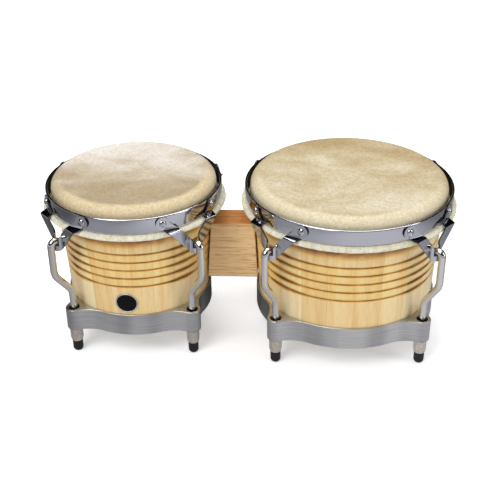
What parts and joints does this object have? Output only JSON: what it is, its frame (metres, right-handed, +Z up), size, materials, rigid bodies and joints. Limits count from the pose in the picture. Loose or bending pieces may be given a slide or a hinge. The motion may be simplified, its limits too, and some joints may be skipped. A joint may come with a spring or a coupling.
{
  "type": "bongo drums",
  "caption": "Pair of joined hand drums: flared wooden shells on a centre block, hide heads drawn down by steel rims, hooked rods and nuts.",
  "frame": {"origin": "on the floor under the middle of the pair, at the bottom centre of its bounding box", "axes": "+X from the small drum to the large one, +Z up, -Y towards the side with the badge plate"},
  "size_m": [0.462, 0.2396, 0.195],
  "materials": {
    "shell_wood": "satin lacquer, turned staves with burnt grooves",
    "block_wood": "satin lacquer, grain along the block",
    "cast_aluminium": "satin, brushed casting",
    "chrome": "mirror chrome plate",
    "zinc_plate": "zinc plated, slightly dull",
    "hide": "rawhide, matte and mottled",
    "rolled_hide": "rolled rawhide edge, matte",
    "rubber": "matte",
    "brass": "turned",
    "steel": "zinc plated",
    "badge_enamel": "gloss black enamel in a bright ring"
  },
  "bodies": {
    "drums": {"small_shell": "shell_wood", "small_bottom_casting": "cast_aluminium", "small_skin": "hide", "small_block_bolt_1": "steel", "small_block_washer_1": "steel", "small_block_insert_1": "brass", "small_block_bolt_2": "steel", "small_block_washer_2": "steel", "small_block_insert_2": "brass", "badge_plate": "badge_enamel", "large_shell": "shell_wood", "large_bottom_casting": "cast_aluminium", "large_skin": "hide", "large_block_bolt_1": "steel", "large_block_washer_1": "steel", "large_block_insert_1": "brass", "large_block_bolt_2": "steel", "large_block_washer_2": "steel", "large_block_insert_2": "brass", "centre_block": "block_wood"},
    "small_tuning_rim": {"small_rolled_edge": "rolled_hide", "small_flesh_hoop": "steel", "small_rim": "chrome", "small_claw_1": "chrome", "small_hook_rod_1": "chrome", "small_rubber_tip_1": "rubber", "small_claw_2": "chrome", "small_hook_rod_2": "chrome", "small_rubber_tip_2": "rubber", "small_claw_3": "chrome", "small_hook_rod_3": "chrome", "small_rubber_tip_3": "rubber", "small_claw_4": "chrome", "small_hook_rod_4": "chrome", "small_rubber_tip_4": "rubber"},
    "small_nut_1": {"small_nut_1": "zinc_plate"},
    "small_nut_2": {"small_nut_2": "zinc_plate"},
    "small_nut_3": {"small_nut_3": "zinc_plate"},
    "small_nut_4": {"small_nut_4": "zinc_plate"},
    "large_tuning_rim": {"large_rolled_edge": "rolled_hide", "large_flesh_hoop": "steel", "large_rim": "chrome", "large_claw_1": "chrome", "large_hook_rod_1": "chrome", "large_rubber_tip_1": "rubber", "large_claw_2": "chrome", "large_hook_rod_2": "chrome", "large_rubber_tip_2": "rubber", "large_claw_3": "chrome", "large_hook_rod_3": "chrome", "large_rubber_tip_3": "rubber", "large_claw_4": "chrome", "large_hook_rod_4": "chrome", "large_rubber_tip_4": "rubber"},
    "large_nut_1": {"large_nut_1": "zinc_plate"},
    "large_nut_2": {"large_nut_2": "zinc_plate"},
    "large_nut_3": {"large_nut_3": "zinc_plate"},
    "large_nut_4": {"large_nut_4": "zinc_plate"}
  },
  "joints": [
    {"name": "small_rim_draw", "type": "slide", "parent": "drums", "child": "small_tuning_rim", "axis": [0, 0, -1], "range_m": [0, 0.003]},
    {"name": "small_nut_1_turn", "type": "hinge", "parent": "drums", "child": "small_nut_1", "pos_m": [-0.06163, 0.06647, 0.02235], "axis": [0, 0, 1], "range_deg": [0, 766]},
    {"name": "small_nut_2_turn", "type": "hinge", "parent": "drums", "child": "small_nut_2", "pos_m": [-0.19505, 0.06694, 0.02235], "axis": [0, 0, 1], "range_deg": [0, 766]},
    {"name": "small_nut_3_turn", "type": "hinge", "parent": "drums", "child": "small_nut_3", "pos_m": [-0.19551, -0.06647, 0.02235], "axis": [0, 0, 1], "range_deg": [0, 766]},
    {"name": "small_nut_4_turn", "type": "hinge", "parent": "drums", "child": "small_nut_4", "pos_m": [-0.0621, -0.06694, 0.02235], "axis": [0, 0, 1], "range_deg": [0, 766]},
    {"name": "large_rim_draw", "type": "slide", "parent": "drums", "child": "large_tuning_rim", "axis": [0, 0, -1], "range_m": [0, 0.003]},
    {"name": "large_nut_1_turn", "type": "hinge", "parent": "drums", "child": "large_nut_1", "pos_m": [0.19031, 0.08224, 0.02235], "axis": [0, 0, 1], "range_deg": [0, 766]},
    {"name": "large_nut_2_turn", "type": "hinge", "parent": "drums", "child": "large_nut_2", "pos_m": [0.02894, 0.07914, 0.02235], "axis": [0, 0, 1], "range_deg": [0, 766]},
    {"name": "large_nut_3_turn", "type": "hinge", "parent": "drums", "child": "large_nut_3", "pos_m": [0.03204, -0.08224, 0.02235], "axis": [0, 0, 1], "range_deg": [0, 766]},
    {"name": "large_nut_4_turn", "type": "hinge", "parent": "drums", "child": "large_nut_4", "pos_m": [0.19341, -0.07914, 0.02235], "axis": [0, 0, 1], "range_deg": [0, 766]}
  ],
  "couplings": [
    {"joint": "small_nut_1_turn", "follows": "small_rim_draw", "rad_per_m": 4452.7},
    {"joint": "small_nut_2_turn", "follows": "small_rim_draw", "rad_per_m": 4452.7},
    {"joint": "small_nut_3_turn", "follows": "small_rim_draw", "rad_per_m": 4452.7},
    {"joint": "small_nut_4_turn", "follows": "small_rim_draw", "rad_per_m": 4452.7},
    {"joint": "large_nut_1_turn", "follows": "large_rim_draw", "rad_per_m": 4452.7},
    {"joint": "large_nut_2_turn", "follows": "large_rim_draw", "rad_per_m": 4452.7},
    {"joint": "large_nut_3_turn", "follows": "large_rim_draw", "rad_per_m": 4452.7},
    {"joint": "large_nut_4_turn", "follows": "large_rim_draw", "rad_per_m": 4452.7}
  ]
}
